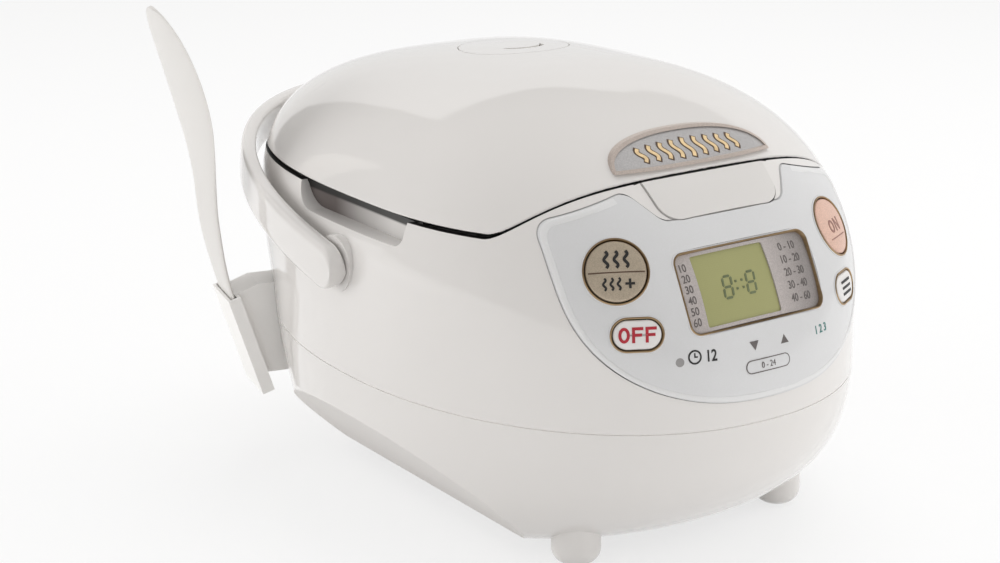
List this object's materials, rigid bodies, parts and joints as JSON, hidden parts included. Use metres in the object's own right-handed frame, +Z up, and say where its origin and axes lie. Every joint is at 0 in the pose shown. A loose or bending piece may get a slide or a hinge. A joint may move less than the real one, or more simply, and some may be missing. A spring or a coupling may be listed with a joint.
{
  "type": "rice cooker",
  "caption": "Egg-shaped electric rice cooker with a hinged lid, front control panel, swing-back carrying handle, lift-off steam vent cap and a spatula in a side holder.",
  "frame": {"origin": "on the table under the middle of the body's width, where the front and rear halves of the plan meet", "axes": "+Z up, -Y out of the control panel, +X to the right seen from the front"},
  "size_m": [0.286, 0.3467, 0.2278],
  "materials": {
    "white_plastic": "glossy warm white",
    "pearl_panel": "pearl white",
    "gold_trim": "satin gold",
    "badge_metal": "satin silver with a mauve cast",
    "mask_mauve": "grey mauve",
    "display_green": "unlit liquid crystal",
    "salmon_key": "satin salmon pink",
    "gold_key": "satin gold beige",
    "white_key": "satin white",
    "lamp_grey": "unlit lamp",
    "grey_plastic": "moulded grey",
    "steel": "plain steel",
    "inner_lid_steel": "brushed",
    "aluminium": "plain aluminium",
    "pot_coating": "dark non-stick coat",
    "silicone": "pale silicone",
    "outlet_grey": "soft grey",
    "board_green": "coated circuit board",
    "black_plastic": "moulded black",
    "spatula_white": "satin white"
  },
  "bodies": {
    "cooker": {"body_shell": "white_plastic", "base_cover": "white_plastic", "spatula_holder": "white_plastic", "front_feet": "white_plastic", "rear_feet": "white_plastic", "control_panel": "pearl_panel", "display_frame": "gold_trim", "key_rims": "gold_trim", "display_mask": "mask_mauve", "display_glass": "display_green", "timer_lamp": "lamp_grey", "top_deck": "grey_plastic", "hinge_pin": "steel", "latch_pin": "steel", "plate_posts": "steel", "base_screws": "steel", "hinge_spring": "steel", "sensor_spring": "steel", "handle_pins": "steel", "heating_plate": "aluminium", "chamber_liner": "aluminium", "side_heater": "aluminium", "inner_pot": "pot_coating", "cord_outlet": "outlet_grey", "control_board": "board_green", "power_board": "board_green", "push_switches": "black_plastic", "power_components": "black_plastic", "thermal_fuse": "black_plastic", "sensor_housing": "black_plastic"},
    "lid": {"lid_cover": "white_plastic", "lid_liner": "grey_plastic", "lid_screws": "steel", "lid_hinge_arms": "steel", "lid_heater": "aluminium", "lid_gasket": "silicone", "inner_lid": "inner_lid_steel", "inner_lid_knob": "black_plastic", "steam_tube": "silicone", "badge_plate": "badge_metal", "badge_rim": "gold_trim", "lid_strike": "steel"},
    "vent_cap": {"steam_vent_cap": "white_plastic"},
    "carrying_handle": {"handle": "white_plastic"},
    "rice_spatula": {"spatula": "spatula_white"},
    "lid_button": {"open_button": "white_plastic"},
    "latch": {"latch_lever": "black_plastic"},
    "keep_warm_button": {"keep_warm_key": "gold_key"},
    "cook_button": {"cook_key": "salmon_key"},
    "reset_button": {"reset_key": "white_key"},
    "menu_button": {"menu_key": "white_key"},
    "sensor": {"sensor_plunger": "aluminium"}
  },
  "joints": [
    {"name": "lid_hinge", "type": "hinge", "parent": "cooker", "child": "lid", "pos_m": [0, 0.16, 0.153], "axis": [-1, 0, 0], "range_deg": [0, 62]},
    {"name": "vent_cap_lift", "type": "slide", "parent": "lid", "child": "vent_cap", "axis": [0, 0, 1], "range_m": [0, 0.04]},
    {"name": "handle_pivot", "type": "hinge", "parent": "cooker", "child": "carrying_handle", "pos_m": [0, 0.008, 0.123], "axis": [1, 0, 0], "range_deg": [0, 79]},
    {"name": "spatula_lift", "type": "slide", "parent": "cooker", "child": "rice_spatula", "axis": [-0.2913, 0.0678, 0.9542], "range_m": [0, 0.055]},
    {"name": "button_press", "type": "slide", "parent": "cooker", "child": "lid_button", "axis": [0, 0.679, -0.7341], "range_m": [0, 0.0035], "stiffness_N_per_m": 600},
    {"name": "latch_pivot", "type": "hinge", "parent": "cooker", "child": "latch", "pos_m": [0, -0.103, 0.143], "axis": [1, 0, 0], "range_deg": [0, 21]},
    {"name": "keep_warm_press", "type": "slide", "parent": "cooker", "child": "keep_warm_button", "axis": [0.3967, 0.7837, -0.478], "range_m": [0, 0.0012], "stiffness_N_per_m": 300},
    {"name": "cook_press", "type": "slide", "parent": "cooker", "child": "cook_button", "axis": [-0.3967, 0.7837, -0.478], "range_m": [0, 0.0012], "stiffness_N_per_m": 300},
    {"name": "reset_press", "type": "slide", "parent": "cooker", "child": "reset_button", "axis": [0.4595, 0.8558, -0.2378], "range_m": [0, 0.0012], "stiffness_N_per_m": 300},
    {"name": "menu_press", "type": "slide", "parent": "cooker", "child": "menu_button", "axis": [-0.4595, 0.8558, -0.2378], "range_m": [0, 0.0012], "stiffness_N_per_m": 300},
    {"name": "sensor_press", "type": "slide", "parent": "cooker", "child": "sensor", "axis": [0, 0, -1], "range_m": [0, 0.003], "stiffness_N_per_m": 300, "deforming": ["sensor_spring"]}
  ],
  "couplings": [
    {"joint": "latch_pivot", "follows": "button_press", "rad_per_m": 103}
  ]
}
